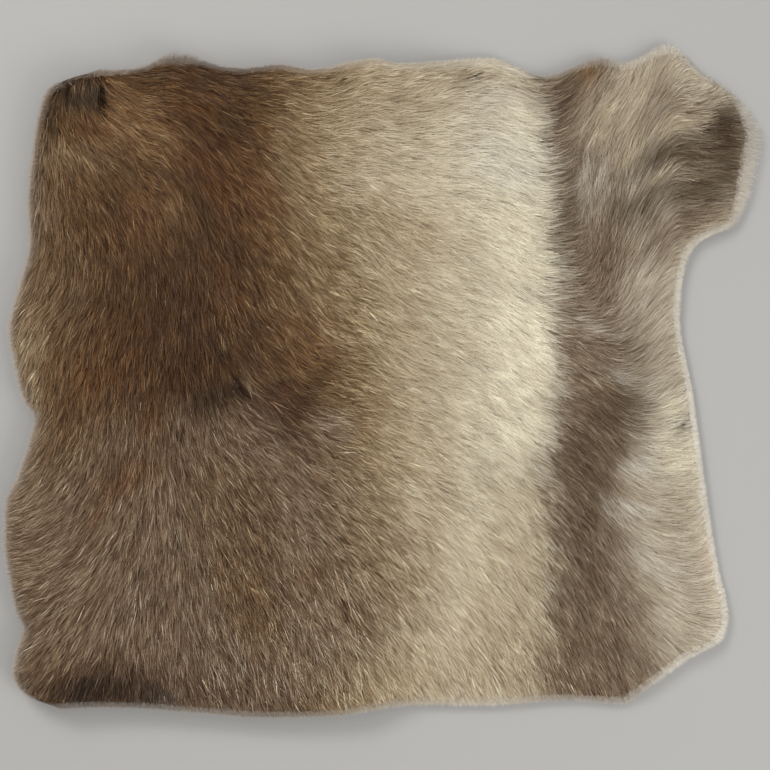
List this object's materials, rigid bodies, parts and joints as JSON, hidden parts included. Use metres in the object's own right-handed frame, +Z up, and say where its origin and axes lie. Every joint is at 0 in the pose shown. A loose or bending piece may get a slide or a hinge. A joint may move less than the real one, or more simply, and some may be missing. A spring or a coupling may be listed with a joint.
{
  "type": "folded reindeer hide",
  "caption": "Tanned reindeer hide with its coat on, folded along a soft edge with the flesh sides together, lying flat.",
  "frame": {"origin": "on the floor, under the middle of the hide's footprint", "axes": "+X from the fold to the belly edge, +Y from the cut edge to the shoulder edge, +Z up"},
  "size_m": [0.753, 0.6712, 0.046],
  "materials": {
    "coat": "dense lying reindeer hair, brown over the back, cream on the side, grey-brown flank stripe, pale belly"
  },
  "bodies": {
    "root": {"reindeer_hide": "coat"}
  },
  "joints": []
}
